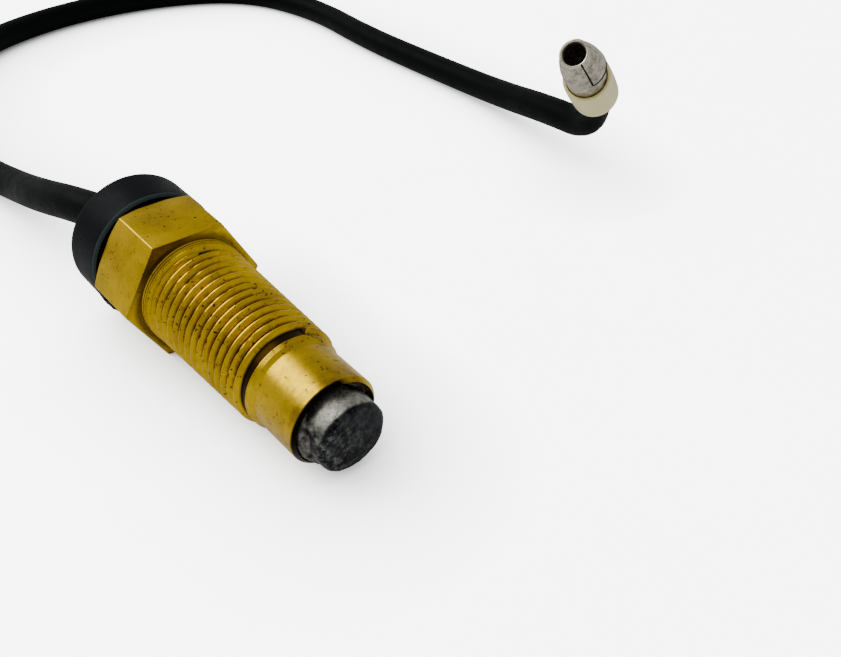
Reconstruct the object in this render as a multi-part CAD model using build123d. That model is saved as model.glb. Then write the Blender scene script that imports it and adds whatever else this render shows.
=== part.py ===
"""Screw-in thermocouple with a rubber-capped brass body and a single flying lead.

Frame: millimetres, +Z up. The origin is the centre of the hexagon's seat face, on the
thread axis. The part lies on its side, on the hexagon's lower front edge and the rim of
its nose, so the thread axis runs along +X and dips by TILT towards the tip. Every piece
on the body is drawn along a level X axis and then tipped by TILT. The lead and what is
on its end are drawn where they lie.
"""
from build123d import *
import os
from math import atan2, cos, degrees, radians, sin, tan

# ---- brass body: hexagon, tapered thread, nose ----
HEX_AF = 19.0              # across flats
HEX_LENGTH = 10.3
HEX_CORNER_R = HEX_AF / 2 / cos(radians(30))
HEX_CHAMFER = 30.0         # degrees, rear corners only
PILOT_R = 8.45             # plain turned ring between the seat face and the first thread
PILOT_LENGTH = 1.6
THREAD_MEAN_R = 8.0        # crest radius half way along the thread
THREAD_TAPER = 1 / 32      # loss of radius per millimetre of length: 1 in 16 on diameter
THREAD_END = 24.4
RELIEF_R = 7.1             # ring between the last thread and the nose
NOSE_START = 25.0
NOSE_END = 34.1
NOSE_R = 6.65
NOSE_CHAMFER = 0.6
MOUTH_R = 5.75             # shallow recess that the tip stands in
MOUTH_DEPTH = 1.6
COLLAR_R = 8.5             # round spigot behind the hexagon that carries the cap
COLLAR_END = -16.4
BORE_R = 3.6
REAR_BORE_R = 6.5
REAR_BORE_END = -5.0

# ---- sensing tip ----
TIP_R = 5.1
TIP_SEAT = 27.0
TIP_END = 37.8
TIP_EDGE = 0.6
TIP_POCKET_R = 2.6
TIP_POCKET_END = 36.2
SOLDER_TOP_R = 5.35
SOLDER_RISE = 0.55         # how far the solder creeps up the tip past the nose
SOLDER_DROP = 0.5          # how far it stays below the nose at the rim

# ---- inside the body ----
BEAD_R = 1.0
BEAD_X = TIP_POCKET_END - BEAD_R
ELEMENT_R = 0.4
ELEMENT_OFFSET = 0.95
ELEMENT_BEND_R = 0.8
INSULATOR_R = 2.35
INSULATOR_BORE_R = 0.5
INSULATOR_START = -3.0
INSULATOR_END = 34.0
FILL_START = -2.4
RING_THICKNESS = 1.4
RING_INNER_R = 5.2
FERRULE_START = -12.0
FERRULE_END = -7.4
FERRULE_R = 1.5
ELEMENT_END = -9.5
CONDUCTOR_END = -9.9
SLEEVE_IN_START = -12.6
SLEEVE_IN_END = -6.8
SLEEVE_IN_R = 2.2
POTTING_START = -13.4
SEAL_START = -14.9
WASHER_START = -15.7

# ---- rubber cap ----
CAP_R = 10.25
CAP_FRONT = -10.9
CAP_REAR = -18.5
CAP_FLOOR = 1.7
CAP_GAP = 0.15             # round the collar
CAP_HOLE_GAP = 0.6         # round the lead
CAP_REAR_ROUND = 0.5
CAP_LIP = 0.5

# ---- lead ----
LEAD_R = 3.0
INSULATION_R = 2.0
CONDUCTOR_R = 0.9
FLOOR_GAP = 0.05

# ---- terminal on the lead's end, measured along its own axis from where the lead leans over ----
BARREL_START = 5.5
BARREL_R = 3.6
BARREL_WALL = 0.4
SHOULDER = 17.5            # the barrel narrows to the mouth from here
THROAT = 20.5              # the mouth's straight bore starts here
MOUTH_BORE_R = 2.2
MOUTH_TIP_R = 2.55
BARREL_END = 25.0
SEAM_WIDTH = 0.2
STRAIN_END = 10.5          # insulated core gripped inside the wide barrel
CORE_END = 14.5
LINER_END = 24.6
LINER_WALL = 0.25
SLEEVE_START = 3.0
SLEEVE_END = 13.0
SLEEVE_R = 4.35
SLEEVE_BORE_R = 3.75

PAST = 1.0                 # how far a cutter runs past what it cuts

# the body rests on the hexagon's lower edge and on the nose behind its chamfer
TILT = degrees(atan2(HEX_AF / 2 - NOSE_R, NOSE_END - NOSE_CHAMFER))
FLOOR = -HEX_AF / 2 * cos(radians(TILT))
TIPPED = Rot(0, TILT, 0)
REST_Z = FLOOR + FLOOR_GAP + LEAD_R

os.makedirs("parts", exist_ok=True)


def save(name, shape):
    shape.label = name
    export_step(shape, f"parts/{name}.step")


def on_axis(x, z=0.0):
    """Where a point of the level drawing lies once the body is tipped."""
    turn = radians(TILT)
    return (x * cos(turn) + z * sin(turn), 0.0, -x * sin(turn) + z * cos(turn))


def turned(*outline):
    """A solid of revolution about X, from (x, radius) points of a closed outline."""
    return revolve(make_face(Polyline(*outline, close=True)), Axis.X)


def tube(start, end, outer, inner=0.0):
    return turned((start, inner), (end, inner), (end, outer), (start, outer))


def rod_at(start, end, radius, z):
    return Pos((start + end) / 2, 0, z) * Rot(0, 90, 0) * Cylinder(radius, end - start)


def crest_r(x):
    """Radius over the thread's crests at x."""
    middle = (PILOT_LENGTH + THREAD_END) / 2
    return THREAD_MEAN_R + (middle - x) * THREAD_TAPER


def hexagon():
    """Hexagon with a flat underneath; its rear corners are turned to a chamfer."""
    rear = Plane(origin=(-HEX_LENGTH, 0, 0), x_dir=(0, 1, 0), z_dir=(1, 0, 0))
    prism = extrude(rear * RegularPolygon(HEX_CORNER_R, 6), HEX_LENGTH)
    flat_r = HEX_AF / 2
    rim_r = HEX_CORNER_R + PAST
    run = (rim_r - flat_r) * tan(radians(HEX_CHAMFER))
    cone = turned(
        (-HEX_LENGTH, 0), (PAST, 0), (PAST, rim_r), (run - HEX_LENGTH, rim_r), (-HEX_LENGTH, flat_r)
    )
    return prism & cone


def brass_body():
    """One turned piece. The thread is drawn to the outline over its crests."""
    shank = turned(
        (COLLAR_END, 0), (COLLAR_END, COLLAR_R),
        (PAST - HEX_LENGTH, COLLAR_R), (PAST - HEX_LENGTH, PILOT_R),
        (PILOT_LENGTH, PILOT_R), (PILOT_LENGTH, crest_r(PILOT_LENGTH)),
        (THREAD_END, crest_r(THREAD_END)), (THREAD_END, RELIEF_R),
        (NOSE_START, RELIEF_R), (NOSE_START, NOSE_R),
        (NOSE_END - NOSE_CHAMFER, NOSE_R), (NOSE_END, NOSE_R - NOSE_CHAMFER), (NOSE_END, 0)
    )
    recess_x = NOSE_END - MOUTH_DEPTH
    bore = turned(
        (COLLAR_END - PAST, 0), (COLLAR_END - PAST, REAR_BORE_R),
        (REAR_BORE_END, REAR_BORE_R), (REAR_BORE_END, BORE_R),
        (TIP_SEAT, BORE_R), (TIP_SEAT, TIP_R),
        (recess_x, TIP_R), (recess_x, MOUTH_R),
        (NOSE_END + PAST, MOUTH_R), (NOSE_END + PAST, 0)
    )
    return (shank + hexagon()) - bore


def tip_plug():
    """Closed metal tip: it stands out of the nose and holds the hot junction in a pocket."""
    plug = tube(TIP_SEAT, TIP_END, TIP_R) - tube(TIP_SEAT - PAST, TIP_POCKET_END, TIP_POCKET_R)
    end_edge = plug.edges().filter_by(GeomType.CIRCLE).sort_by(Axis.X)[-1]
    return fillet(end_edge, TIP_EDGE)


def tip_solder():
    """Ring of solder that fills most of the recess round the tip."""
    low = NOSE_END - MOUTH_DEPTH
    return turned(
        (low, TIP_R), (low, MOUTH_R), (NOSE_END - SOLDER_DROP, MOUTH_R),
        (NOSE_END + SOLDER_RISE, SOLDER_TOP_R), (NOSE_END + SOLDER_RISE, TIP_R)
    )


def ceramic_insulator():
    body = tube(INSULATOR_START, INSULATOR_END, INSULATOR_R)
    for z in (-ELEMENT_OFFSET, ELEMENT_OFFSET):
        body -= rod_at(INSULATOR_START - PAST, INSULATOR_END + PAST, INSULATOR_BORE_R, z)
    return body


def element_wire(*route):
    """A bare wire through the bead and one insulator bore, with bends of ELEMENT_BEND_R."""
    path = FilletPolyline(*route, radius=ELEMENT_BEND_R)
    section = Plane(origin=path @ 0, z_dir=path % 0) * Circle(ELEMENT_R)
    return sweep(section, path=path)


def positive_element():
    """Out of the insulator and in to the middle, where the splice ferrule grips it."""
    return element_wire(
        (ELEMENT_END, 0, 0), (FERRULE_END + ELEMENT_BEND_R, 0, 0),
        (INSULATOR_START - ELEMENT_BEND_R / 2, 0, ELEMENT_OFFSET), (BEAD_X, 0, ELEMENT_OFFSET)
    )


def return_element():
    """Out of the insulator, then sideways to the ground ring."""
    leg_x = REAR_BORE_END - RING_THICKNESS / 2
    return element_wire(
        (leg_x, 0, -RING_INNER_R), (leg_x, 0, -ELEMENT_OFFSET), (BEAD_X, 0, -ELEMENT_OFFSET)
    )


def rubber_cap():
    """Cup-shaped boot: bore over the collar, hole in its floor for the lead."""
    bore_r = COLLAR_R + CAP_GAP
    hole_r = LEAD_R + CAP_HOLE_GAP
    floor_x = CAP_REAR + CAP_FLOOR
    cup = turned(
        (CAP_REAR, hole_r), (CAP_REAR, CAP_R), (CAP_FRONT, CAP_R), (CAP_FRONT, bore_r + CAP_LIP),
        (CAP_FRONT - CAP_LIP, bore_r), (floor_x, bore_r), (floor_x, hole_r)
    )
    rims = cup.edges().filter_by(GeomType.CIRCLE).group_by(Axis.X)[0].sort_by(SortBy.RADIUS)
    return fillet(rims[-1], CAP_REAR_ROUND)


# route of the free lead: out of the cap, round the back and up into the terminal
END_AXIS = Vector(0.318, -0.74, 0.592).normalized()
LEAN = Vector(0.3, 88.6, 6.6)
BARREL_SEAT = LEAN + END_AXIS * BARREL_START
ROUTE = [
    on_axis(CAP_REAR),
    (-25.0, -0.45, 2.05),
    (-34.5, -2.7, 1.3),
    (-45.5, -4.0, -1.1),
    (-58.0, -4.0, -4.2),
    (-73.0, -5.2, -6.1),
    (-96.0, -7.0, REST_Z),
    (-126.0, 1.0, REST_Z),
    (-149.0, 21.0, REST_Z),
    (-160.0, 49.0, REST_Z),
    (-159.0, 78.0, REST_Z),
    (-146.0, 101.0, REST_Z),
    (-118.0, 106.5, REST_Z),
    (-88.0, 102.0, REST_Z),
    (-58.0, 101.0, REST_Z),
    (-35.0, 98.5, -5.2),
    (-15.5, 93.2, -1.6),
    (-3.6, 91.6, -0.9),
    tuple(LEAN),
    tuple(BARREL_SEAT),
]


def lead_radii(points):
    """One bend radius for each inner point: 0.45 of the shorter run over tan(half the turn)."""
    corners = [Vector(*p) for p in points]
    radii = []
    for before, here, after in zip(corners, corners[1:], corners[2:]):
        run_in = here - before
        run_out = after - here
        half = radians(run_in.get_angle(run_out) / 2)
        radii.append(0.45 * min(run_in.length, run_out.length) / tan(half))
    return radii


def lead_tube():
    radii = lead_radii(ROUTE)
    print("lead bend radii, mm:", [round(r, 1) for r in radii])
    path = FilletPolyline(*ROUTE, radius=radii)
    section = Plane(origin=path @ 0, z_dir=path % 0) * Circle(LEAD_R)
    print("lead length, mm:", round(path.length, 1))
    return sweep(section, path=path)


# the terminal's drawing lies along +X, seam up, and is turned onto the lead's end
SEAM_SIDE = Vector(0.75, 0.07, -0.66)
seam_up = SEAM_SIDE - END_AXIS * SEAM_SIDE.dot(END_AXIS)
LEAD_END_PLANE = Plane(origin=LEAN, x_dir=END_AXIS, z_dir=seam_up)


def on_lead_end(shape):
    return LEAD_END_PLANE.location * shape


def bullet_terminal():
    """Rolled tin-plated barrel: wide crimp end, narrowing to an open mouth, and a seam."""
    inner = BARREL_R - BARREL_WALL
    shell = turned(
        (BARREL_START, inner), (SHOULDER, inner), (THROAT, MOUTH_BORE_R), (BARREL_END, MOUTH_BORE_R),
        (BARREL_END, MOUTH_TIP_R), (SHOULDER, BARREL_R), (BARREL_START, BARREL_R)
    )
    slit_x = (BARREL_START + BARREL_END) / 2
    slit_z = (BARREL_R + PAST) / 2
    slit = Pos(slit_x, 0, slit_z) * Box(BARREL_END - BARREL_START + PAST, SEAM_WIDTH, 2 * slit_z)
    return shell - slit


# ---- pieces on the body ----
positive_wire = positive_element()
return_wire = return_element()
ground_ring = tube(REAR_BORE_END - RING_THICKNESS, REAR_BORE_END, REAR_BORE_R, RING_INNER_R)
ferrule = tube(FERRULE_START, FERRULE_END, FERRULE_R, CONDUCTOR_R)
splice_sleeve = tube(SLEEVE_IN_START, SLEEVE_IN_END, SLEEVE_IN_R, FERRULE_R)
inner_insulation = tube(CAP_REAR, SLEEVE_IN_START, INSULATION_R, CONDUCTOR_R)
potting = tube(POTTING_START, REAR_BORE_END - RING_THICKNESS, REAR_BORE_R)
potting -= tube(SLEEVE_IN_START, SLEEVE_IN_END, SLEEVE_IN_R)
potting -= tube(POTTING_START - PAST, SLEEVE_IN_START, INSULATION_R)
potting -= positive_wire
potting -= return_wire

BODY_PIECES = {
    "brass_body": brass_body(),
    "tip_plug": tip_plug(),
    "tip_solder": tip_solder(),
    "hot_junction": Pos(BEAD_X, 0, 0) * Sphere(BEAD_R),
    "positive_element": positive_wire,
    "return_element": return_wire,
    "ceramic_insulator": ceramic_insulator(),
    "magnesia_fill": tube(FILL_START, TIP_SEAT, BORE_R, INSULATOR_R),
    "ground_ring": ground_ring,
    "splice_ferrule": ferrule,
    "splice_sleeve": splice_sleeve,
    "potting": potting,
    "seal_washer": tube(SEAL_START, POTTING_START, REAR_BORE_R, LEAD_R),
    "retaining_washer": tube(WASHER_START, SEAL_START, REAR_BORE_R, LEAD_R),
    "inner_conductor": tube(CAP_REAR, CONDUCTOR_END, CONDUCTOR_R),
    "inner_insulation": inner_insulation,
    "inner_jacket": tube(CAP_REAR, POTTING_START, LEAD_R, INSULATION_R),
    "rubber_cap": rubber_cap(),
}
for name, shape in BODY_PIECES.items():
    save(name, TIPPED * shape)

# ---- the lead and what is on its end ----
save("lead", lead_tube())
LEAD_END_PIECES = {
    "bullet_terminal": bullet_terminal(),
    "end_insulation": tube(BARREL_START, STRAIN_END, BARREL_R - BARREL_WALL, CONDUCTOR_R),
    "end_conductor": tube(BARREL_START, CORE_END, CONDUCTOR_R),
    "contact_liner": tube(THROAT, LINER_END, MOUTH_BORE_R, MOUTH_BORE_R - LINER_WALL),
    "insulating_sleeve": tube(SLEEVE_START, SLEEVE_END, SLEEVE_R, SLEEVE_BORE_R),
}
for name, shape in LEAD_END_PIECES.items():
    save(name, on_lead_end(shape))
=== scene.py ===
# %% [markdown]
# # A screw-in thermocouple, lying on a table
#
# The object is a turned brass body with a hexagon, a tapered thread and a smooth nose. A
# metal tip stands out of the nose, a rubber cap covers the back, and one black lead curls
# round to a tin-plated bullet terminal in an ivory sleeve. The CAD model fixes where every
# piece goes, so the first step is to load it.

# %% Load the CAD frame
from math import atan2, cos, pi, radians, sin

import bmesh
import bpy
from mathutils import Matrix, Vector, noise


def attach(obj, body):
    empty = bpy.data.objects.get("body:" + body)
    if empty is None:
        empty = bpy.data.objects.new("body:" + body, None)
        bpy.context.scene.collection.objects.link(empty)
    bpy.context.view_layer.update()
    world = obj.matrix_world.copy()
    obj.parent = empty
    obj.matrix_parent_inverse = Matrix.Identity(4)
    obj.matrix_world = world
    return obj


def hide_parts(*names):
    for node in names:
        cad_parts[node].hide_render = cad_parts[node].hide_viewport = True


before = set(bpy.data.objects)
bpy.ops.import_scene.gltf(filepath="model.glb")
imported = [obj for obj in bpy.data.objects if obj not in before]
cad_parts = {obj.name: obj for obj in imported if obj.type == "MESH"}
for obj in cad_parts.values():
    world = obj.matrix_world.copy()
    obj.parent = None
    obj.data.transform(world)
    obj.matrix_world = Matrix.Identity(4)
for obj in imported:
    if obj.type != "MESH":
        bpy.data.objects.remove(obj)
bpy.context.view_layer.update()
MM = 0.001

# %% [markdown]
# ## Two drawing frames
#
# Turned pieces are easiest to draw along a level X axis. The real body lies on the lower
# edge of its hexagon and on its nose, so everything on it is then tipped by one matrix. The
# pieces on the lead's end have their own matrix, which stands their X axis up along the
# terminal. Using a matrix on the mesh, and not on the object, keeps each object unturned.

# %% The body's tilt and the lead end's direction
HEX_AF = 19.0
NOSE_R = 6.65
NOSE_END = 34.1
NOSE_CHAMFER = 0.6
TILT = atan2(HEX_AF / 2 - NOSE_R, NOSE_END - NOSE_CHAMFER)
TIPPED = Matrix.Rotation(TILT, 4, "Y")
FLOOR = -HEX_AF / 2 * cos(TILT)

END_AXIS = Vector((0.318, -0.74, 0.592)).normalized()
SEAM_SIDE = Vector((0.75, 0.07, -0.66))
LEAN = Vector((0.3, 88.6, 6.6))
end_z = (SEAM_SIDE - END_AXIS * SEAM_SIDE.dot(END_AXIS)).normalized()
end_y = end_z.cross(END_AXIS)
LEAD_END = Matrix((
    (END_AXIS.x, end_y.x, end_z.x, LEAN.x * MM),
    (END_AXIS.y, end_y.y, end_z.y, LEAN.y * MM),
    (END_AXIS.z, end_y.z, end_z.z, LEAN.z * MM),
    (0, 0, 0, 1),
))
print("tilt of the body, radians:", round(TILT, 4))

# %% [markdown]
# ## The camera
#
# The object is small and seen from close by, so the perspective is strong: the tip looks
# much larger than the far side of the lead. A camera about 14 cm away gives that, with a
# lens a little longer than a phone's. It looks down at 38 degrees.

# %% Camera
CAMERA_PLACE = Vector((104.75, -48.43, 72.23)) * MM
CAMERA_TURN = radians(48.83)
CAMERA_DIP = radians(38.09)
CAMERA_ROLL = radians(0.39)

camera_data = bpy.data.cameras.new("camera")
camera_data.lens = 38.62
camera_data.sensor_width = 36.0
camera_data.shift_x = 0.004
camera_data.shift_y = 0.0505
camera_data.clip_start = 0.005
camera = bpy.data.objects.new("camera", camera_data)
aim = Matrix.Rotation(CAMERA_TURN, 4, "Z") @ Matrix.Rotation(pi / 2 - CAMERA_DIP, 4, "X")
camera.matrix_world = Matrix.Translation(CAMERA_PLACE) @ aim @ Matrix.Rotation(CAMERA_ROLL, 4, "Z")
bpy.context.collection.objects.link(camera)
bpy.context.scene.camera = camera
print("camera is", round(CAMERA_PLACE.length / MM), "mm from the seat face")

# %% [markdown]
# ## The lead's route
#
# The lead is a stiff round cable of one fixed length, so its route comes before anything
# else that hangs on it. It leaves the cap, drops to the table, swings round in one loose
# loop and rises a little before it kinks up into the terminal. One NURBS spline with a few
# listed points gives an even curve. An order of 3 keeps the curve close to its
# points, and the end points are held.

# %% The lead as one spline
CAP_REAR = -18.5
LEAD_R = 3.0
BARREL_START = 5.5
REST_Z = FLOOR + 0.05 + LEAD_R
ROUTE = [
    tuple(TIPPED @ Vector((CAP_REAR, 0, 0))),
    (-25.0, -0.45, 2.05),
    (-34.5, -2.7, 1.3),
    (-45.5, -4.0, -1.1),
    (-58.0, -4.0, -4.2),
    (-73.0, -5.2, -6.1),
    (-96.0, -7.0, REST_Z),
    (-126.0, 1.0, REST_Z),
    (-149.0, 21.0, REST_Z),
    (-160.0, 49.0, REST_Z),
    (-159.0, 78.0, REST_Z),
    (-146.0, 101.0, REST_Z),
    (-118.0, 106.5, REST_Z),
    (-88.0, 102.0, REST_Z),
    (-58.0, 101.0, REST_Z),
    (-35.0, 98.5, -5.2),
    (-15.5, 93.2, -1.6),
    (-3.6, 91.6, -0.9),
    tuple(LEAN),
    tuple(LEAN + END_AXIS * BARREL_START),
]


def spline_curve(name, points, radius):
    """A round tube along one open NURBS spline, from points in millimetres."""
    data = bpy.data.curves.new(name, "CURVE")
    data.dimensions = "3D"
    spline = data.splines.new("NURBS")
    spline.points.add(len(points) - 1)
    for slot, point in zip(spline.points, points):
        slot.co = (*(Vector(point) * MM), 1)
    spline.order_u = 3
    spline.use_endpoint_u = True
    data.resolution_u = 16
    data.bevel_depth = radius * MM
    data.bevel_resolution = 8
    data.use_fill_caps = True
    piece = bpy.data.objects.new(name, data)
    bpy.context.collection.objects.link(piece)
    return piece


lead = spline_curve("lead_jacket", ROUTE, LEAD_R)
print("lead route has", len(ROUTE), "points")

# %% [markdown]
# ## Material helpers
#
# Every finish below is built from nodes. One function turns the usual hex colours into the
# linear numbers that shaders need, and one function adds a node with its settings and links,
# so that each material reads as a short recipe. The recipes lean on three kinds of node:
# a Noise Texture gives clouds or grain, Map Range picks out a band of it as a mask, and Mix
# lays a second colour over the first where the mask is 1.

# %% Colour and node helpers


def linear(hex_colour):
    """sRGB hex to a linear RGBA colour."""
    channels = [int(hex_colour[i:i + 2], 16) / 255 for i in (0, 2, 4)]
    return tuple(c / 12.92 if c <= 0.04045 else ((c + 0.055) / 1.055) ** 2.4 for c in channels) + (1.0,)


def add(tree, kind, inputs, out=0, **settings):
    """Add a node and return one output, or all of them when out is None.

    An input is a plain value or another node's output.
    """
    made = tree.nodes.new("ShaderNode" + kind)
    for key, value in settings.items():
        setattr(made, key, value)
    for key, value in inputs.items():
        if isinstance(value, bpy.types.NodeSocket):
            tree.links.new(value, made.inputs[key])
        else:
            made.inputs[key].default_value = value
    return made.outputs if out is None else made.outputs[out]


def per_mm(size):
    """Texture scale that gives one feature every so many millimetres."""
    return 1 / (size * MM)


def new_material(name, metallic, roughness, **shader):
    """A material with its Principled shader ready, and coordinates level with the body."""
    material = bpy.data.materials.new(name)
    material.use_nodes = True
    tree = material.node_tree
    surface = tree.nodes["Principled BSDF"]
    surface.inputs["Metallic"].default_value = metallic
    surface.inputs["Roughness"].default_value = roughness
    for key, value in shader.items():
        surface.inputs[key.replace("_", " ")].default_value = value
    place = add(tree, "TexCoord", {}, out="Object")
    level = add(tree, "Mapping", {"Vector": place, "Rotation": (0, -TILT, 0)})
    return material, tree, surface, level


def connect(tree, surface, colour, rough, height, strength, depth):
    """Wire a finish's colour, roughness and bump to its shader; depth is in millimetres."""
    bump = add(tree, "Bump", {"Height": height, "Strength": strength, "Distance": depth * MM})
    for socket, value in (("Base Color", colour), ("Roughness", rough), ("Normal", bump)):
        tree.links.new(value, surface.inputs[socket])


print("brass yellow in linear numbers:", [round(c, 3) for c in linear("D0AB0C")[:3]])

# %% [markdown]
# ## Brass
#
# The body is free-cutting brass. All of it shares one base: yellow metal with cloudy tarnish
# a few millimetres across, finer mottling, and dark specks where cutting oil dried. Brass is
# greener than gold, and its tarnish is olive, which tells the eye that it is not plated.

# %% The alloy
def brass_base(tree, level):
    """Colour, clouds, mottle and roughness that every brass surface shares."""
    clouds = add(tree, "TexNoise", {
        "Vector": level, "Scale": per_mm(7.0), "Detail": 6.0, "Roughness": 0.62
    })
    mottle = add(tree, "TexNoise", {
        "Vector": level, "Scale": per_mm(1.1), "Detail": 5.0, "Roughness": 0.7
    })
    specks = add(tree, "TexNoise", {
        "Vector": level, "Scale": per_mm(0.55), "Detail": 3.0, "Roughness": 0.55
    })
    dull = add(tree, "MapRange", {0: clouds, 1: 0.38, 2: 0.7})
    colour = add(tree, "Mix", {0: dull, 6: linear("D0AB0C"), 7: linear("A08110")}, out=2, data_type="RGBA")
    olive = add(tree, "MapRange", {0: mottle, 1: 0.54, 2: 0.74, 3: 0.0, 4: 0.55})
    colour = add(tree, "Mix", {0: olive, 6: colour, 7: linear("6F590C")}, out=2, data_type="RGBA")
    crowd = add(tree, "MapRange", {0: clouds, 1: 0.46, 2: 0.62, 3: 0.0, 4: 0.07})
    speck = add(tree, "Math", {0: specks, 1: crowd}, operation="ADD")
    speck = add(tree, "MapRange", {0: speck, 1: 0.68, 2: 0.71, 3: 0.0, 4: 0.9})
    colour = add(tree, "Mix", {0: speck, 6: colour, 7: linear("1A1203")}, out=2, data_type="RGBA")
    rough = add(tree, "MapRange", {0: mottle, 1: 0.3, 2: 0.75, 3: 0.26, 4: 0.42})
    return colour, clouds, mottle, rough


def across_axis(tree, level):
    """Distance along the axis, the point seen end on, and its radius."""
    parts = add(tree, "SeparateXYZ", {"Vector": level}, out=None)
    end_on = add(tree, "CombineXYZ", {"Y": parts["Y"], "Z": parts["Z"]})
    radius = add(tree, "VectorMath", {0: end_on}, out="Value", operation="LENGTH")
    return parts["X"], end_on, radius


# %% [markdown]
# ## Drawn bar on the hexagon
#
# The hexagon keeps the surface of the drawn bar, even and satin. Only its front face is
# different: a painted dark reflection of the shaded thread browns it round the thread and
# towards one corner. The mask for that is made from the distance to the axis, so it follows
# the real shape.

# %% Brass bar
# the corner of the front face that the painted dark reflection spreads towards
PAINTED_REFLECTION_CORNER = (0.0, -0.5, 0.87)


def drawn_brass_bar():
    material, tree, surface, level = new_material("drawn brass bar", 1.0, 0.3)
    colour, clouds, mottle, rough = brass_base(tree, level)
    x, end_on, radius = across_axis(tree, level)
    # painted dark reflection of the shaded thread on the front face, round the thread and towards one
    # corner
    reflection_edge = add(tree, "MapRange", {0: clouds, 1: 0.3, 2: 0.7, 3: 10.4 * MM, 4: 9.0 * MM})
    inside = add(tree, "Math", {0: reflection_edge, 1: radius}, operation="SUBTRACT")
    near_thread = add(tree, "MapRange", {0: inside, 1: 0.0, 2: 0.8 * MM, 3: 0.0, 4: 0.75})
    towards = add(tree, "VectorMath", {0: end_on, 1: PAINTED_REFLECTION_CORNER}, out="Value", operation="DOT_PRODUCT")
    corner = add(tree, "MapRange", {0: towards, 1: 4.5 * MM, 2: 8.5 * MM, 3: 0.0, 4: 0.9})
    painted_reflection = add(tree, "Math", {0: near_thread, 1: corner}, operation="MAXIMUM")
    front = add(tree, "MapRange", {0: x, 1: -0.06 * MM, 2: -0.02 * MM})
    painted_reflection = add(tree, "Math", {0: painted_reflection, 1: front}, operation="MULTIPLY")
    colour = add(tree, "Mix", {0: painted_reflection, 6: colour, 7: linear("3A2A06")}, out=2, data_type="RGBA")
    connect(tree, surface, colour, rough, mottle, 0.25, 0.05)
    return material


bar_brass = drawn_brass_bar()
print("made", bar_brass.name)

# %% [markdown]
# ## Turned surface of the shank
#
# A lathe leaves fine rings round the axis, so the bump is a wave along X. Three masks then
# darken it: painted brown shade in the thread's roots, found from how far a point lies under
# the crests; a burnt patch near the nose's end; and painted shade on the chamfer and in the
# recess round the tip, on their lower side.

# %% Brass as it came off the lathe
THREAD_MEAN_R = 8.0
THREAD_TAPER = 1 / 32
THREAD_START = 1.6
THREAD_END = 24.4
THREAD_MIDDLE = (THREAD_START + THREAD_END) / 2
# the side of the nose's end that is left free of painted shade
UNSHADED_END_SIDE = (0.0, 0.8, 0.6)
END_SHADE_FADE = (5.6, 4.4)    # how far towards that side the painted shade fades out
FRONT_FACES = 30.0         # everything ahead of this is the nose's end
CHAMFER_START = NOSE_END - NOSE_CHAMFER


def crest_r(x):
    return THREAD_MEAN_R + (THREAD_MIDDLE - x) * THREAD_TAPER


def turned_brass_shank():
    material, tree, surface, level = new_material("turned brass", 1.0, 0.3)
    colour, clouds, mottle, rough = brass_base(tree, level)
    x, end_on, radius = across_axis(tree, level)

    crest = add(tree, "MapRange", {
        0: x, 1: 0.0, 2: THREAD_END * MM, 3: crest_r(0) * MM, 4: crest_r(THREAD_END) * MM
    })
    under = add(tree, "Math", {0: crest, 1: radius}, operation="SUBTRACT")
    # painted brown shade in the thread's roots, found from how far a point lies under the crests
    root = add(tree, "MapRange", {0: under, 1: 0.5 * MM, 2: 0.78 * MM})
    threaded = add(tree, "MapRange", {0: x, 1: (THREAD_END + 0.2) * MM, 2: THREAD_END * MM})
    root_shade = add(tree, "Math", {0: root, 1: threaded}, operation="MULTIPLY")
    colour = add(tree, "Mix", {0: root_shade, 6: colour, 7: linear("2A1B03")}, out=2, data_type="RGBA")

    near_end = add(tree, "MapRange", {0: x, 1: (NOSE_END - 4.0) * MM, 2: NOSE_END * MM})
    patch = add(tree, "MapRange", {0: clouds, 1: 0.42, 2: 0.6})
    burnt = add(tree, "Math", {0: near_end, 1: patch}, operation="MULTIPLY")
    colour = add(tree, "Mix", {0: burnt, 6: colour, 7: linear("6B4F17")}, out=2, data_type="RGBA")

    # painted shade on the chamfer and in the recess round the tip, on their lower side only
    chamfer = add(tree, "MapRange", {0: x, 1: CHAMFER_START * MM, 2: (CHAMFER_START + 0.15) * MM})
    flat_r = NOSE_R - NOSE_CHAMFER
    hollow = add(tree, "MapRange", {0: radius, 1: flat_r * MM, 2: (flat_r - 0.1) * MM})
    forward = add(tree, "MapRange", {0: x, 1: FRONT_FACES * MM, 2: (FRONT_FACES + 1) * MM})
    hollow = add(tree, "Math", {0: hollow, 1: forward}, operation="MULTIPLY")
    end_faces = add(tree, "Math", {0: chamfer, 1: hollow}, operation="MAXIMUM")
    towards_unshaded = add(tree, "VectorMath", {0: end_on, 1: UNSHADED_END_SIDE}, out="Value", operation="DOT_PRODUCT")
    shaded_side = add(tree, "MapRange", {0: towards_unshaded, 1: END_SHADE_FADE[0] * MM, 2: END_SHADE_FADE[1] * MM})
    end_shade = add(tree, "Math", {0: end_faces, 1: shaded_side}, operation="MULTIPLY")
    colour = add(tree, "Mix", {0: end_shade, 6: colour, 7: linear("0E0B06")}, out=2, data_type="RGBA")

    rings = add(tree, "TexWave", {
        "Vector": level, "Scale": per_mm(0.16) / 20, "Distortion": 1.5, "Detail": 2.0
    }, out="Fac", bands_direction="X")
    height = add(tree, "Math", {0: rings, 1: mottle}, operation="MULTIPLY")
    connect(tree, surface, colour, rough, height, 0.25, 0.05)
    return material


turned_brass = turned_brass_shank()
print("made", turned_brass.name)

# %% [markdown]
# ## Oxidised metals
#
# The tip, the solder and the tin-plated terminal are different metals with one thing in
# common: each has a cloudy oxide over a brighter metal. One recipe with two colours and two
# sizes covers them. Rough clouds in the bump make the solder lumpy, and faint ones keep the
# plated strip smooth.

# %% Solder and tin plate


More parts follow.
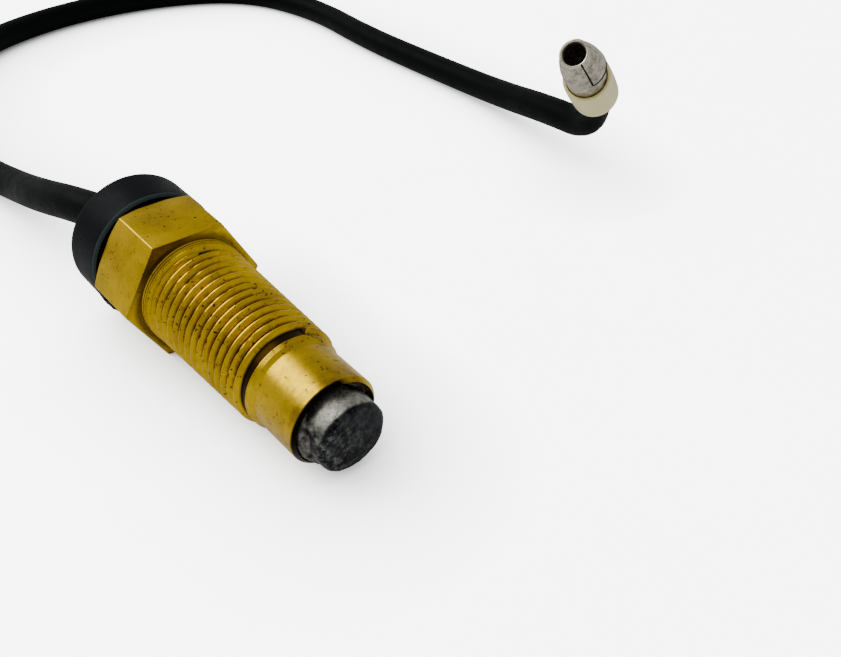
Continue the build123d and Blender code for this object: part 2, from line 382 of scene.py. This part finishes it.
def oxidised(name, light, dark, roughness, cloud_mm, grain_mm, bump_strength):
    """Metal with clouds of a darker oxide; the tree, shader, coordinates and colour come too."""
    material, tree, surface, level = new_material(name, 1.0, roughness)
    clouds = add(tree, "TexNoise", {
        "Vector": level, "Scale": per_mm(cloud_mm), "Detail": 8.0, "Roughness": 0.7
    })
    grain = add(tree, "TexNoise", {"Vector": level, "Scale": per_mm(grain_mm), "Detail": 4.0})
    cover = add(tree, "MapRange", {0: clouds, 1: 0.36, 2: 0.64})
    colour = add(tree, "Mix", {0: cover, 6: linear(dark), 7: linear(light)}, out=2, data_type="RGBA")
    rough = add(tree, "MapRange", {0: grain, 1: 0.3, 2: 0.7, 3: roughness - 0.1, 4: roughness + 0.15})
    connect(tree, surface, colour, rough, clouds, bump_strength, 0.15)
    return material, tree, surface, level, colour


solder = oxidised("soft solder", "7E7A74", "151311", 0.45, 0.9, 0.2, 0.9)[0]
tin_plate = oxidised("tin plated strip", "CCC6B4", "7E7868", 0.34, 1.2, 0.18, 0.2)[0]
rubbed_tin = oxidised("rubbed tin on the rim", "F2EBD6", "A39C86", 0.24, 0.7, 0.15, 0.1)[0]
# dark colour for dirt in the seam and for painted shade in the groove beside the step
seam_dirt_and_groove_shade = oxidised("seam dirt and painted groove shade", "26221A", "0B0A07", 0.6, 0.5, 0.15, 0.3)[0]
print("made", solder.name, tin_plate.name, rubbed_tin.name, seam_dirt_and_groove_shade.name)

# %% [markdown]
# ## The heat-stained tip
#
# The tip is a dark nickel alloy that has been in a flame. Its end face is mottled, and more
# so on the lower side, where the oxide has flaked to grey. A pale painted highlight runs up
# the side that faces upwards. Both patches come from a direction across the axis, broken up
# by noise.

# %% Tip metal
# the side of the tip that the painted highlight runs along
HIGHLIGHT_SIDE = (0.0, -0.25, 0.97)
FLAKED_SIDE = (0.0, -0.75, -0.66)
HIGHLIGHT_FRONT = (37.3, 36.9)  # the painted highlight stops short of the end face, fading over this span


def stained_tip():
    made = oxidised("heat stained nickel alloy", "34383A", "090B0C", 0.42, 1.6, 0.25, 0.6)
    material, tree, surface, level, colour = made
    x, end_on, _ = across_axis(tree, level)
    flakes = add(tree, "TexNoise", {
        "Vector": level, "Scale": per_mm(0.8), "Detail": 7.0, "Roughness": 0.75
    })
    lower = add(tree, "VectorMath", {0: end_on, 1: FLAKED_SIDE}, out="Value", operation="DOT_PRODUCT")
    lower = add(tree, "MapRange", {0: lower, 1: -2.5 * MM, 2: 4.5 * MM, 3: 0.05, 4: 0.85})
    flaked = add(tree, "MapRange", {0: flakes, 1: 0.5, 2: 0.68})
    flaked = add(tree, "Math", {0: flaked, 1: lower}, operation="MULTIPLY")
    colour = add(tree, "Mix", {0: flaked, 6: colour, 7: linear("9A9A92")}, out=2, data_type="RGBA")

    # a pale painted highlight along the upper side, broken up by noise and stopping short of the end face
    drift = add(tree, "TexNoise", {"Vector": level, "Scale": per_mm(1.8), "Detail": 6.0})
    drift = add(tree, "MapRange", {0: drift, 1: 0.0, 2: 1.0, 3: -3.0 * MM, 4: 3.0 * MM})
    upper = add(tree, "VectorMath", {0: end_on, 1: HIGHLIGHT_SIDE}, out="Value", operation="DOT_PRODUCT")
    upper = add(tree, "Math", {0: upper, 1: drift}, operation="ADD")
    upper = add(tree, "MapRange", {0: upper, 1: 3.1 * MM, 2: 4.4 * MM})
    behind_face = add(tree, "MapRange", {
        0: x, 1: HIGHLIGHT_FRONT[0] * MM, 2: HIGHLIGHT_FRONT[1] * MM
    })
    painted_highlight = add(tree, "Math", {0: upper, 1: behind_face}, operation="MULTIPLY")
    patchy = add(tree, "MapRange", {0: flakes, 1: 0.35, 2: 0.6, 3: 0.3, 4: 1.0})
    painted_highlight = add(tree, "Math", {0: painted_highlight, 1: patchy}, operation="MULTIPLY")
    colour = add(tree, "Mix", {0: painted_highlight, 6: colour, 7: linear("A5A397")}, out=2, data_type="RGBA")
    tree.links.new(colour, surface.inputs["Base Color"])
    return material


tip_metal = stained_tip()
print("made", tip_metal.name)

# %% [markdown]
# ## Rubber and plastics
#
# The cap is moulded rubber and the lead's jacket is extruded rubber: both near black, the
# cap with a cold blue cast and a soft sheen, the jacket smoother. Black rubber looks grey if
# its specular level is high, so it is kept low. The ivory sleeve is soft vinyl that lets
# light in, so it gets some light under its surface.

# %% Rubber, jacket and vinyl


def moulded(name, base, worn, roughness, grain_mm, bump_strength, **shader):
    """Soft plastic or rubber: a base colour, paler scuffs and a fine skin."""
    material, tree, surface, level = new_material(name, 0.0, roughness, **shader)
    scuffs = add(tree, "TexNoise", {
        "Vector": level, "Scale": per_mm(4.0), "Detail": 8.0, "Roughness": 0.72
    })
    skin = add(tree, "TexNoise", {"Vector": level, "Scale": per_mm(grain_mm), "Detail": 3.0})
    scuffed = add(tree, "MapRange", {0: scuffs, 1: 0.5, 2: 0.75, 3: 0.0, 4: 0.7})
    colour = add(tree, "Mix", {0: scuffed, 6: linear(base), 7: linear(worn)}, out=2, data_type="RGBA")
    rough = add(tree, "MapRange", {0: scuffs, 1: 0.35, 2: 0.7, 3: roughness - 0.06, 4: roughness + 0.12})
    connect(tree, surface, colour, rough, skin, bump_strength, 0.05)
    return material


cap_rubber = moulded("moulded rubber", "010406", "080E12", 0.45, 0.3, 0.3, Specular_IOR_Level=0.05)
# the lip's paler rubber is a painted highlight
cap_lip_highlight = moulded("rubber lip with painted highlight", "2A3437", "3A4448", 0.5, 0.25, 0.4, Specular_IOR_Level=0.1)
jacket = moulded("extruded rubber jacket", "010304", "05080A", 0.5, 0.4, 0.2, Specular_IOR_Level=0.04)
ivory = moulded(
    "ivory soft vinyl", "ECE0A4", "DCCE8C", 0.35, 0.5, 0.15,
    Subsurface_Weight=0.3, Subsurface_Radius=(1.6, 1.2, 0.7), Subsurface_Scale=MM
)
print("made", cap_rubber.name, cap_lip_highlight.name, jacket.name, ivory.name)
lead.data.materials.append(jacket)

# %% [markdown]
# ## Pieces inside the body
#
# These are hidden in the finished part, but they are real pieces and each one gets the
# finish of its own material: white fired alumina, packed magnesia, drawn wire, cast resin
# and so on. They keep their CAD shapes. One table and two recipes cover them.

# %% Finishes for the hidden CAD pieces
HIDDEN_METALS = {
    "hot_junction": ("welded bead", "8F9092", "4E4F50", 0.4),
    "positive_element": ("drawn nickel chromium wire", "9C9B98", "6E6D6A", 0.35),
    "return_element": ("drawn nickel wire", "A6A296", "7A766B", 0.35),
    "ground_ring": ("turned brass ring", "C79A2B", "8A6412", 0.3),
    "splice_ferrule": ("tinned copper", "C4BFB4", "8D897E", 0.35),
    "retaining_washer": ("zinc plated steel", "A9ADB0", "6D7174", 0.35),
    "inner_conductor": ("stranded copper", "B87345", "7C4526", 0.4),
    "end_conductor": ("stranded copper end", "B87345", "7C4526", 0.4),
    "contact_liner": ("tinned spring strip", "B5AF9F", "77715F", 0.35),
}
HIDDEN_SOFT = {
    "ceramic_insulator": ("fired alumina", "EFEBE0", "D9D2C0", 0.6),
    "magnesia_fill": ("packed magnesia", "E2DDD0", "C9C2B2", 0.9),
    "splice_sleeve": ("woven glass sleeving", "E4E0D4", "C8C2B0", 0.7),
    "potting": ("cast epoxy", "15161A", "24262C", 0.25),
    "seal_washer": ("soft sealing rubber", "131415", "25282A", 0.55),
    "inner_insulation": ("silicone core insulation", "D8D2C2", "BDB6A2", 0.5),
    "inner_jacket": ("inner rubber jacket", "0A0C0D", "1B1F21", 0.45),
    "end_insulation": ("core insulation end", "D8D2C2", "BDB6A2", 0.5),
}


def dress(node, material):
    """Give a carried-over CAD node a finish."""
    slots = bpy.data.objects[node].data.materials
    slots.clear()
    slots.append(material)


for node, (finish, light, dark, roughness) in HIDDEN_METALS.items():
    dress(node, oxidised(finish, light, dark, roughness, 0.8, 0.15, 0.15)[0])
for node, (finish, base, worn, roughness) in HIDDEN_SOFT.items():
    dress(node, moulded(finish, base, worn, roughness, 0.25, 0.2))
print("dressed", len(HIDDEN_METALS) + len(HIDDEN_SOFT), "hidden pieces")

# %% [markdown]
# ## Mesh helpers
#
# Nearly every piece here came off a lathe or out of a round mould, so the main helper spins
# an outline of (x, radius) points a full turn. A second helper bevels the sharp rings, since
# a real edge is never perfectly sharp and the thin bright line it catches is what tells the
# eye that it is metal. A third one finishes a piece: it places the mesh, marks which edges
# stay crisp, and ties the object to its CAD body and node.

# %% Lathe, bevel and finish


def lathe(outline, steps=128, closed=True):
    """Spin (x, radius) points, in millimetres, about X into a closed shell."""
    bm = bmesh.new()
    verts = [bm.verts.new((x * MM, 0, r * MM)) for x, r in outline]
    ends = verts[1:] + verts[:1] if closed else verts[1:]
    edges = [bm.edges.new(pair) for pair in zip(verts, ends)]
    bmesh.ops.spin(
        bm, geom=verts + edges, cent=(0, 0, 0), axis=(1, 0, 0), dvec=(0, 0, 0),
        angle=2 * pi, steps=steps, use_merge=True, use_duplicate=False
    )
    bmesh.ops.remove_doubles(bm, verts=bm.verts, dist=0.001 * MM)
    bmesh.ops.recalc_face_normals(bm, faces=bm.faces)
    return bm


def soften(bm, width, sharper_than=25, segments=2):
    """Bevel every edge that turns by more than an angle in degrees."""
    limit = radians(sharper_than)
    sharp = [e for e in bm.edges if len(e.link_faces) == 2 and e.calc_face_angle() > limit]
    bmesh.ops.bevel(
        bm, geom=sharp, offset=width * MM, offset_type="OFFSET", segments=segments, profile=0.5,
        affect="EDGES", material=-1, clamp_overlap=True
    )


def to_object(bm, name, materials):
    mesh = bpy.data.meshes.new(name)
    bm.to_mesh(mesh)
    bm.free()
    for material in materials:
        mesh.materials.append(material)
    piece = bpy.data.objects.new(name, mesh)
    bpy.context.collection.objects.link(piece)
    return piece


def finish_piece(bm, name, materials, place, body, *nodes, crisp=32):
    """Place the mesh, keep edges sharper than `crisp` degrees hard, and hand it to the frame."""
    bmesh.ops.transform(bm, matrix=place, verts=bm.verts)
    for face in bm.faces:
        face.smooth = True
    for edge in bm.edges:
        if len(edge.link_faces) == 2 and edge.calc_face_angle() > radians(crisp):
            edge.smooth = False
    print(name, "has", len(bm.faces), "faces")
    piece = to_object(bm, name, materials)
    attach(piece, body)
    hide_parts(*nodes)
    return piece


# %% [markdown]
# ## The hexagon
#
# A hexagon bar is faced square at the front, so its front edges are straight and sharp. At
# the back the corners are turned off by a cone, which leaves each flat ending in a curve.
# Intersecting a prism with a lathe-made cone gives exactly those curves.

# %% Hexagon with turned rear corners
HEX_LENGTH = 10.3
HEX_CORNER_R = HEX_AF / 2 / cos(radians(30))
COLLAR_R = 8.5
REAR_BORE_R = 6.5


def hexagon():
    prism = bmesh.new()
    bmesh.ops.create_cone(
        prism, cap_ends=True, segments=6, radius1=HEX_CORNER_R * MM, radius2=HEX_CORNER_R * MM,
        depth=HEX_LENGTH * MM
    )
    lay = Matrix.Translation((-HEX_LENGTH / 2 * MM, 0, 0)) @ Matrix.Rotation(pi / 2, 4, "Y")
    bmesh.ops.transform(prism, matrix=lay, verts=prism.verts)
    soften(prism, 0.14)
    flat_r = HEX_AF / 2
    reach = HEX_CORNER_R + 1 - flat_r
    cone = lathe([
        (-HEX_LENGTH, COLLAR_R - 1), (-HEX_LENGTH, flat_r), (reach * 0.577 - HEX_LENGTH, flat_r + reach),
        (1, flat_r + reach), (1, COLLAR_R - 1)
    ], steps=180)
    first = to_object(prism, "hexagon_prism", [])
    second = to_object(cone, "hexagon_cone", [])
    cut = first.modifiers.new("rear corners", "BOOLEAN")
    cut.operation = "INTERSECT"
    cut.object = second
    evaluated = first.evaluated_get(bpy.context.evaluated_depsgraph_get())
    bm = bmesh.new()
    bm.from_mesh(evaluated.to_mesh())
    bpy.data.objects.remove(first)
    bpy.data.objects.remove(second)
    for face in bm.faces:
        face.material_index = 1
    return bm


hexagon_mesh = hexagon()
print("hexagon has", len(hexagon_mesh.faces), "faces")

# %% [markdown]
# ## The thread
#
# A screw thread is one ridge wound round the shank. Spin can move its outline along the axis
# at every step, which makes that winding directly. The taper, the fade at both ends and the
# small dents of a used thread are then given to the points, by how far along they are.

# %% One helical ridge
PITCH = 1.44
THREAD_DEPTH = 0.8
STEPS_PER_TURN = 96
BURIED = 0.3               # how far the ridge's foot goes into the shank


def ridge_wear(point):
    """How much a crest is dented at a place, in millimetres."""
    dent = noise.noise(point * 0.9 / MM) - 0.38
    nick = noise.noise(point * 2.6 / MM) - 0.42
    return max(dent, 0) * 0.25 + max(nick, 0) * 0.9


def thread_ridge():
    turns = (THREAD_END - THREAD_START) / PITCH - 0.9
    foot = -THREAD_DEPTH - BURIED
    outline = [
        (-0.47, foot), (-0.46, -THREAD_DEPTH), (-0.12, -0.07), (-0.07, 0), (0.07, 0), (0.12, -0.07),
        (0.46, -THREAD_DEPTH), (0.47, foot)
    ]
    bm = bmesh.new()
    start = THREAD_START + PITCH * 0.3
    verts = [
        bm.verts.new(((start + along * PITCH) * MM, 0, (THREAD_MEAN_R + up) * MM))
        for along, up in outline
    ]
    edges = [bm.edges.new(pair) for pair in zip(verts, verts[1:] + verts[:1])]
    steps = round(turns * STEPS_PER_TURN)
    bmesh.ops.spin(
        bm, geom=verts + edges, cent=(0, 0, 0), axis=(1, 0, 0), dvec=(PITCH / STEPS_PER_TURN * MM, 0, 0),
        angle=2 * pi * steps / STEPS_PER_TURN, steps=steps, use_merge=False, use_duplicate=False
    )
    bmesh.ops.holes_fill(bm, edges=[e for e in bm.edges if e.is_boundary], sides=0)
    for v in bm.verts:
        x = v.co.x / MM
        around = Vector((0, v.co.y, v.co.z))
        height = around.length / MM - (THREAD_MEAN_R - THREAD_DEPTH - BURIED)
        fade = min(1, max(0, (x - THREAD_START + 0.5) / 1.2), max(0, (THREAD_END + 0.5 - x) / 1.0))
        worn = ridge_wear(v.co) if height > THREAD_DEPTH else 0
        radius = crest_r(x) - THREAD_DEPTH - BURIED + height * fade - worn
        v.co = Vector((v.co.x, 0, 0)) + around.normalized() * radius * MM
    bmesh.ops.recalc_face_normals(bm, faces=bm.faces)
    return bm


ridge_mesh = thread_ridge()
print("thread ridge has", len(ridge_mesh.faces), "faces")

# %% [markdown]
# ## The turned shank
#
# Collar, plain ring, thread core, relief ring, nose and bore are one outline, spun once.
# The nose ends in a chamfer round a shallow recess, where the tip stands. The relief ring
# just before the nose has a few tool grooves that are deep enough to model.

# %% Shank, and the body made of its three shells
COLLAR_END = -16.4
PILOT_R = 8.45
RELIEF_R = 7.1
NOSE_START = 25.0
MOUTH_R = 6.0
MOUTH_DEPTH = 1.6
TIP_R = 5.1
TIP_SEAT = 27.0
BORE_R = 3.6
REAR_BORE_END = -5.0


def fine_rings(start, end, radius, count, depth):
    """Outline points of tool grooves, evenly spaced along a plain ring."""
    step = (end - start) / count
    points = []
    for k in range(count):
        x = start + k * step
        points += [(x + step * 0.3, radius), (x + step * 0.6, radius - depth), (x + step * 0.9, radius)]
    return points


def shank():
    outline = [
        (COLLAR_END, REAR_BORE_R), (COLLAR_END, COLLAR_R),
        (-HEX_LENGTH + 1, COLLAR_R), (-HEX_LENGTH + 1.1, PILOT_R), (-0.1, PILOT_R),
        *fine_rings(0, THREAD_START - 0.2, PILOT_R, 3, 0.09), (THREAD_START - 0.1, PILOT_R),
        (THREAD_START + 0.5, crest_r(THREAD_START) - THREAD_DEPTH),
        (THREAD_END - 0.4, crest_r(THREAD_END) - THREAD_DEPTH), (THREAD_END - 0.1, RELIEF_R),
        *fine_rings(THREAD_END, NOSE_START + 0.2, RELIEF_R, 4, 0.06), (NOSE_START + 0.3, RELIEF_R - 0.05),
        (NOSE_START + 0.7, NOSE_R), (NOSE_END - NOSE_CHAMFER, NOSE_R),
        (NOSE_END, NOSE_R - NOSE_CHAMFER * 0.9), (NOSE_END - 0.15, MOUTH_R),
        (NOSE_END - MOUTH_DEPTH, MOUTH_R - 0.1), (NOSE_END - MOUTH_DEPTH, TIP_R),
        (TIP_SEAT, TIP_R), (TIP_SEAT, BORE_R), (REAR_BORE_END, BORE_R),
        (REAR_BORE_END, REAR_BORE_R)
    ]
    return lathe(outline, steps=160)


def joined(*shells):
    """Put several closed shells into one bmesh."""
    whole = bmesh.new()
    for shell in shells:
        mesh = bpy.data.meshes.new("shell")
        shell.to_mesh(mesh)
        shell.free()
        whole.from_mesh(mesh)
        bpy.data.meshes.remove(mesh)
    return whole


body = finish_piece(
    joined(shank(), hexagon_mesh, ridge_mesh), "brass_probe_body", [turned_brass, bar_brass],
    TIPPED, "body", "brass_body"
)

# %% [markdown]
# ## Tip and solder
#
# The tip is a turned plug with a rounded edge. Heat and solder have left it uneven, so its
# side gets a soft swell from noise. The solder is a low ring in the recess that climbs up
# to the rim on one side, which a spun ring pulled by direction gives.

# %% Tip plug and solder
TIP_END = 37.8
TIP_POCKET_R = 2.6
TIP_POCKET_END = 36.2
TIP_ROUND = 0.7
SOLDER_SIDE = Vector((0, -0.85, -0.5))


def rounded_corner(x, radius, size, facing=1):
    """Outline points of a quarter round, from the side to the end face at x."""
    angles = [pi * k / 12 for k in range(7)]
    return [
        (x - facing * size + facing * size * sin(a), radius - size + size * cos(a)) for a in angles
    ]


def tip_plug():
    edge = rounded_corner(TIP_END, TIP_R, TIP_ROUND)
    side = [(TIP_SEAT + (TIP_END - TIP_ROUND - TIP_SEAT) * k / 24, TIP_R) for k in range(24)]
    face = [(TIP_END + 0.02 * k, TIP_R - TIP_ROUND - 0.55 * k) for k in range(1, 8)]
    outline = side + edge + face
    pocket = [(TIP_POCKET_END, 0.0), (TIP_POCKET_END, TIP_POCKET_R), (TIP_SEAT, TIP_POCKET_R)]
    bm = lathe(outline + [(TIP_END + 0.15, 0.0)] + pocket)
    for v in bm.verts:
        x = v.co.x / MM
        around = Vector((0, v.co.y, v.co.z))
        if x > NOSE_END - 1 and around.length > (TIP_POCKET_R + 0.3) * MM:
            swell = noise.noise(v.co * 0.35 / MM) * 0.22 + noise.noise(v.co * 1.3 / MM) * 0.08
            v.co += around.normalized() * swell * MM
    return bm


def tip_solder():
    low = NOSE_END - MOUTH_DEPTH
    rows = 10
    top = []
    width = MOUTH_R - TIP_R - 0.1
    for k in range(rows + 1):
        top.append((low + 0.2 + 0.3 * (k / rows) ** 2, MOUTH_R - 0.1 - width * k / rows))
    bm = lathe([(low, TIP_R - 0.3), (low, MOUTH_R - 0.1)] + top + [(low + 0.5, TIP_R - 0.3)], steps=180)
    for v in bm.verts:
        around = Vector((0, v.co.y, v.co.z))
        out = around.normalized()
        climb = max(0, out.dot(SOLDER_SIDE.normalized()) - 0.15) / 0.85
        inner = 1 - (around.length / MM - TIP_R + 0.3) / (MOUTH_R - TIP_R + 0.2)
        lump = noise.noise(v.co * 0.5 / MM) * 0.5 + 1
        if v.co.x > (low + 0.1) * MM:
            v.co.x += (climb * (1.0 + 2.0 * inner) * lump + noise.noise(v.co * 1.7 / MM) * 0.15) * MM
            v.co += out * climb * sin(pi * min(1, max(0, inner))) * 0.4 * MM
    return bm


finish_piece(tip_plug(), "tip_plug_metal", [tip_metal], TIPPED, "body", "tip_plug")
finish_piece(tip_solder(), "tip_solder_run", [solder], TIPPED, "body", "tip_solder", crisp=60)

# %% [markdown]
# ## The rubber cap
#
# The cap is a moulded cup with a rounded back and a lip at its open front, which shows as a
# pale crescent where it catches the light; the lip's faces get a paler rubber, a painted
# highlight. Rubber has no sharp edges, so the bevel is wide.
# Part of the lip is torn on the underside, which noise pulls back.

# %% Cap
CAP_R = 10.25
CAP_FRONT = -10.9
CAP_FLOOR = 1.7
CAP_BORE_R = COLLAR_R + 0.15
CAP_HOLE_R = LEAD_R + 0.5
CAP_BACK_ROUND = 0.5
CAP_LIP_ROUND = 0.55


def rubber_cap():
    rows = 12
    side_start = CAP_REAR + CAP_BACK_ROUND
    side = [(side_start + (CAP_FRONT - CAP_REAR - 1.1) * k / rows, CAP_R) for k in range(rows + 1)]
    back = rounded_corner(CAP_REAR, CAP_R, CAP_BACK_ROUND, facing=-1)[:0:-1]
    lip = rounded_corner(CAP_FRONT, CAP_R, CAP_LIP_ROUND)
    outline = [(CAP_REAR, CAP_HOLE_R)] + back + side[:-1] + lip + [
        (CAP_FRONT, CAP_BORE_R + 0.5), (CAP_FRONT - 0.5, CAP_BORE_R),
        (CAP_REAR + CAP_FLOOR, CAP_BORE_R), (CAP_REAR + CAP_FLOOR, CAP_HOLE_R)
    ]
    bm = lathe(outline, steps=144)
    soften(bm, 0.22, segments=3)
    torn = Vector((0, -0.6, -0.8))
    for v in bm.verts:
        out = Vector((0, v.co.y, v.co.z)).normalized()
        ragged = max(0, out.dot(torn) - 0.8) * 5 * (0.5 + noise.noise(v.co * 1.1 / MM))
        if v.co.x > (CAP_FRONT - 1.5) * MM:
            v.co += out * ragged * 0.45 * MM
            v.co.x += ragged * 0.35 * MM
    # faces on the lip take slot 1, the paler rubber that paints its highlight
    for face in bm.faces:
        middle = face.calc_center_median()
        reach = Vector((0, middle.y, middle.z)).length
        on_lip = CAP_FRONT - 0.5 < middle.x / MM < CAP_FRONT - 0.03 and reach > (CAP_R - 0.5) * MM
        face.material_index = 1 if on_lip else 0
    return bm


finish_piece(
    rubber_cap(), "rubber_cap_boot", [cap_rubber, cap_lip_highlight], TIPPED, "cap", "rubber_cap", crisp=50
)

# %% [markdown]
# ## The bullet terminal
#
# The terminal is strip rolled into a barrel that narrows to an open mouth. Its rim is curled
# inwards, so it is thick and bright. The strip's edges meet in a seam, and on one side of the
# seam the narrow part ends in a small step. The barrel is a spun outline; the seam and the
# step are then pressed into its points, which are dense enough to take them.

# %% Rolled barrel
BARREL_R = 3.6
BARREL_WALL = 0.4
SHOULDER = 17.5
THROAT = 20.5
MOUTH_BORE_R = 2.2
MOUTH_TIP_R = 2.55
BARREL_END = 25.0
STEP_PROUD = 0.7           # how far the overlapping edge stands out beside the seam
STEP_REACH = 3.1           # radians round the barrel over which it rises and dies away
GROOVE_WIDTH = 0.9


def barrel_profile():
    """Outer points: straight barrel, then a convex nose to the rim."""
    rows = 26
    points = [(BARREL_START + (SHOULDER - 1.2 - BARREL_START) * k / 10, BARREL_R) for k in range(11)]
    points += [(SHOULDER - back, BARREL_R) for back in (1.0, 0.8, 0.6, 0.4)]
    for k in range(rows + 1):
        along = k / rows
        bulge = 0.28 * sin(pi * along)
        points.append((SHOULDER - 0.3 + (BARREL_END - 0.45 - SHOULDER + 0.3) * along,
                       BARREL_R + (MOUTH_TIP_R - BARREL_R) * along + bulge))
    return points


def bullet_terminal():
    rim_r = (MOUTH_TIP_R + 1.98) / 2
    half = (MOUTH_TIP_R - 1.98) / 2
    rim = [(BARREL_END - 0.3 + 0.3 * sin(a), rim_r + half * cos(a)) for a in (pi * k / 8 for k in range(9))]
    inside = [
        (BARREL_END - 0.7, 2.0), (BARREL_END - 0.9, MOUTH_BORE_R), (THROAT, MOUTH_BORE_R),
        (SHOULDER, BARREL_R - BARREL_WALL), (BARREL_START, BARREL_R - BARREL_WALL)
    ]
    bm = lathe(barrel_profile() + rim + inside, steps=240)
    for v in bm.verts:
        around = Vector((0, v.co.y, v.co.z))
        angle = atan2(-v.co.y, v.co.z)
        off_seam = abs(angle) * around.length / MM
        outside = around.length / MM > 2.3
        on_nose = SHOULDER - 0.35 < v.co.x / MM
        press = max(0, 1 - off_seam / 0.17) * 0.35 if outside and on_nose else 0
        towards_step = (BARREL_END - v.co.x / MM) / (BARREL_END - SHOULDER)
        proud = 0
        if outside and angle > 0.04:
            one_side = sin(pi * min(1, (angle + 0.25) / STEP_REACH))
            if on_nose:
                proud = STEP_PROUD * one_side * max(0, towards_step) ** 1.5
            elif v.co.x / MM > SHOULDER - GROOVE_WIDTH:
                proud = -0.2 * one_side
        dent = noise.noise(v.co * 0.4 / MM) * 0.09
        v.co += around.normalized() * (dent + proud - press) * MM
    return bm


def sort_terminal_faces(bm):
    """Slot 1 is the bright rim; slot 2 is the dark seam and painted shade in the groove beside the step."""
    for face in bm.faces:
        middle = face.calc_center_median() / MM
        reach = Vector((0, middle.y, middle.z)).length
        angle = atan2(-middle.y, middle.z)
        in_seam = abs(angle) * reach < 0.1 and middle.x > SHOULDER - 0.4
        # the groove beside the step is darkened as painted shade
        in_groove = SHOULDER - GROOVE_WIDTH < middle.x < SHOULDER + 0.2 and 0 < angle < STEP_REACH * 0.55
        if middle.x > BARREL_END - 0.28:
            face.material_index = 1
        if reach > 2.3 and (in_seam or in_groove):
            face.material_index = 2


barrel_mesh = bullet_terminal()
sort_terminal_faces(barrel_mesh)
terminal = finish_piece(
    barrel_mesh, "bullet_terminal_barrel", [tin_plate, rubbed_tin, seam_dirt_and_groove_shade],
    LEAD_END, "body", "bullet_terminal"
)

# %% [markdown]
# ## The ivory sleeve
#
# A short length of soft vinyl tube pushed on over the back of the barrel. Its cut ends are
# slightly rounded, and it bulges where the barrel stretches it.

# %% Sleeve
SLEEVE_START = 3.0
SLEEVE_END = 13.0
SLEEVE_R = 4.35
SLEEVE_BORE_R = 3.75


def insulating_sleeve():
    rows = 10
    outer = []
    for k in range(rows + 1):
        x = SLEEVE_START + (SLEEVE_END - SLEEVE_START) * k / rows
        outer.append((x, SLEEVE_R + 0.1 * sin(pi * k / rows)))
    bm = lathe(outer + [(SLEEVE_END, SLEEVE_BORE_R), (SLEEVE_START, SLEEVE_BORE_R)], steps=120)
    soften(bm, 0.2, sharper_than=50, segments=3)
    return bm


sleeve = finish_piece(
    insulating_sleeve(), "ivory_sleeve", [ivory], LEAD_END, "sleeve", "insulating_sleeve", crisp=60
)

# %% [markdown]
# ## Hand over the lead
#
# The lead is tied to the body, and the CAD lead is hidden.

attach(lead, "body")
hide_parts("lead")

# %% [markdown]
# ## Table and light
#
# The table is plain white and so strongly lit that it is overexposed. Real light that strong
# would wash out the brass too, so the table glows only for the lens: emission times Is Camera
# Ray. The metal then reflects an ordinary white table. A glow hides shadows, so it is dimmed
# by Ambient Occlusion, the share of open sky above a point. Leaning its normal towards the
# main light makes that shade fall to the other side, as a soft shadow does.

# %% Floor
TABLE_GLOW = 6.5
SHADE_REACH = 22.0         # how far off, in millimetres, something still shades the table
SHADE_DEPTH = 1.9          # power of the open share; higher is darker
SHADE_LEAN = Vector((-0.50, -0.30, 0.81))


def floor_plane():
    bm = bmesh.new()
    bmesh.ops.create_grid(bm, x_segments=1, y_segments=1, size=8.0)
    bmesh.ops.transform(bm, matrix=Matrix.Translation((0, 0, FLOOR * MM)), verts=bm.verts)
    white, tree, surface, level = new_material("white table top", 0.0, 0.6)
    grain = add(tree, "TexNoise", {"Vector": level, "Scale": per_mm(30.0), "Detail": 4.0})
    shade = add(
        tree, "Mix", {0: grain, 6: linear("F7F7F6"), 7: linear("FBFBFA")}, out=2, data_type="RGBA"
    )
    tree.links.new(shade, surface.inputs["Base Color"])
    tree.links.new(shade, surface.inputs["Emission Color"])
    lean = SHADE_LEAN.normalized()
    leaning = add(tree, "CombineXYZ", {"X": lean.x, "Y": lean.y, "Z": lean.z})
    reach = {"Distance": SHADE_REACH * MM, "Normal": leaning}
    sky = add(tree, "AmbientOcclusion", reach, out="AO", samples=16)
    sky = add(tree, "Math", {0: sky, 1: SHADE_DEPTH}, operation="POWER")
    seen = add(tree, "LightPath", {}, out="Is Camera Ray")
    glow = add(tree, "Math", {0: seen, 1: TABLE_GLOW}, operation="MULTIPLY")
    glow = add(tree, "Math", {0: glow, 1: sky}, operation="MULTIPLY")
    tree.links.new(glow, surface.inputs["Emission Strength"])
    plane = to_object(bm, "floor", [white])


floor_plane()
print("table glow for the lens:", TABLE_GLOW)

# %% [markdown]
# The main light is a wide soft disc, high up and to the left, so the bright band on the
# nose faces the camera and the shade falls past the tip. The room gives the rest:
# brighter at the horizon than overhead, because metal looks alive only when it has a
# gradient to reflect.

# %% Lights


def soft_light(name, place, size, power):
    data = bpy.data.lights.new(name, "AREA")
    data.shape = "DISK"
    data.size = size
    data.energy = power
    light = bpy.data.objects.new(name, data)
    light.location = place
    light.rotation_euler = (-Vector(place)).to_track_quat("-Z", "Y").to_euler()
    bpy.context.collection.objects.link(light)


soft_light("high window", (-0.42, -0.21, 0.52), 0.55, 3.4)

world = bpy.data.worlds.new("room")
world.use_nodes = True
bpy.context.scene.world = world
room = world.node_tree
direction = add(room, "TexCoord", {}, out="Generated")
upwards = add(room, "SeparateXYZ", {"Vector": direction}, out="Z")
overhead = add(room, "MapRange", {0: upwards, 1: 0.0, 2: 0.8})
shade = add(room, "Mix", {0: overhead, 6: linear("C8C8C8"), 7: linear("A4A4A4")}, out=2, data_type="RGBA")
room.links.new(shade, room.nodes["Background"].inputs["Color"])
room.nodes["Background"].inputs["Strength"].default_value = 1.3
print("stage is set")
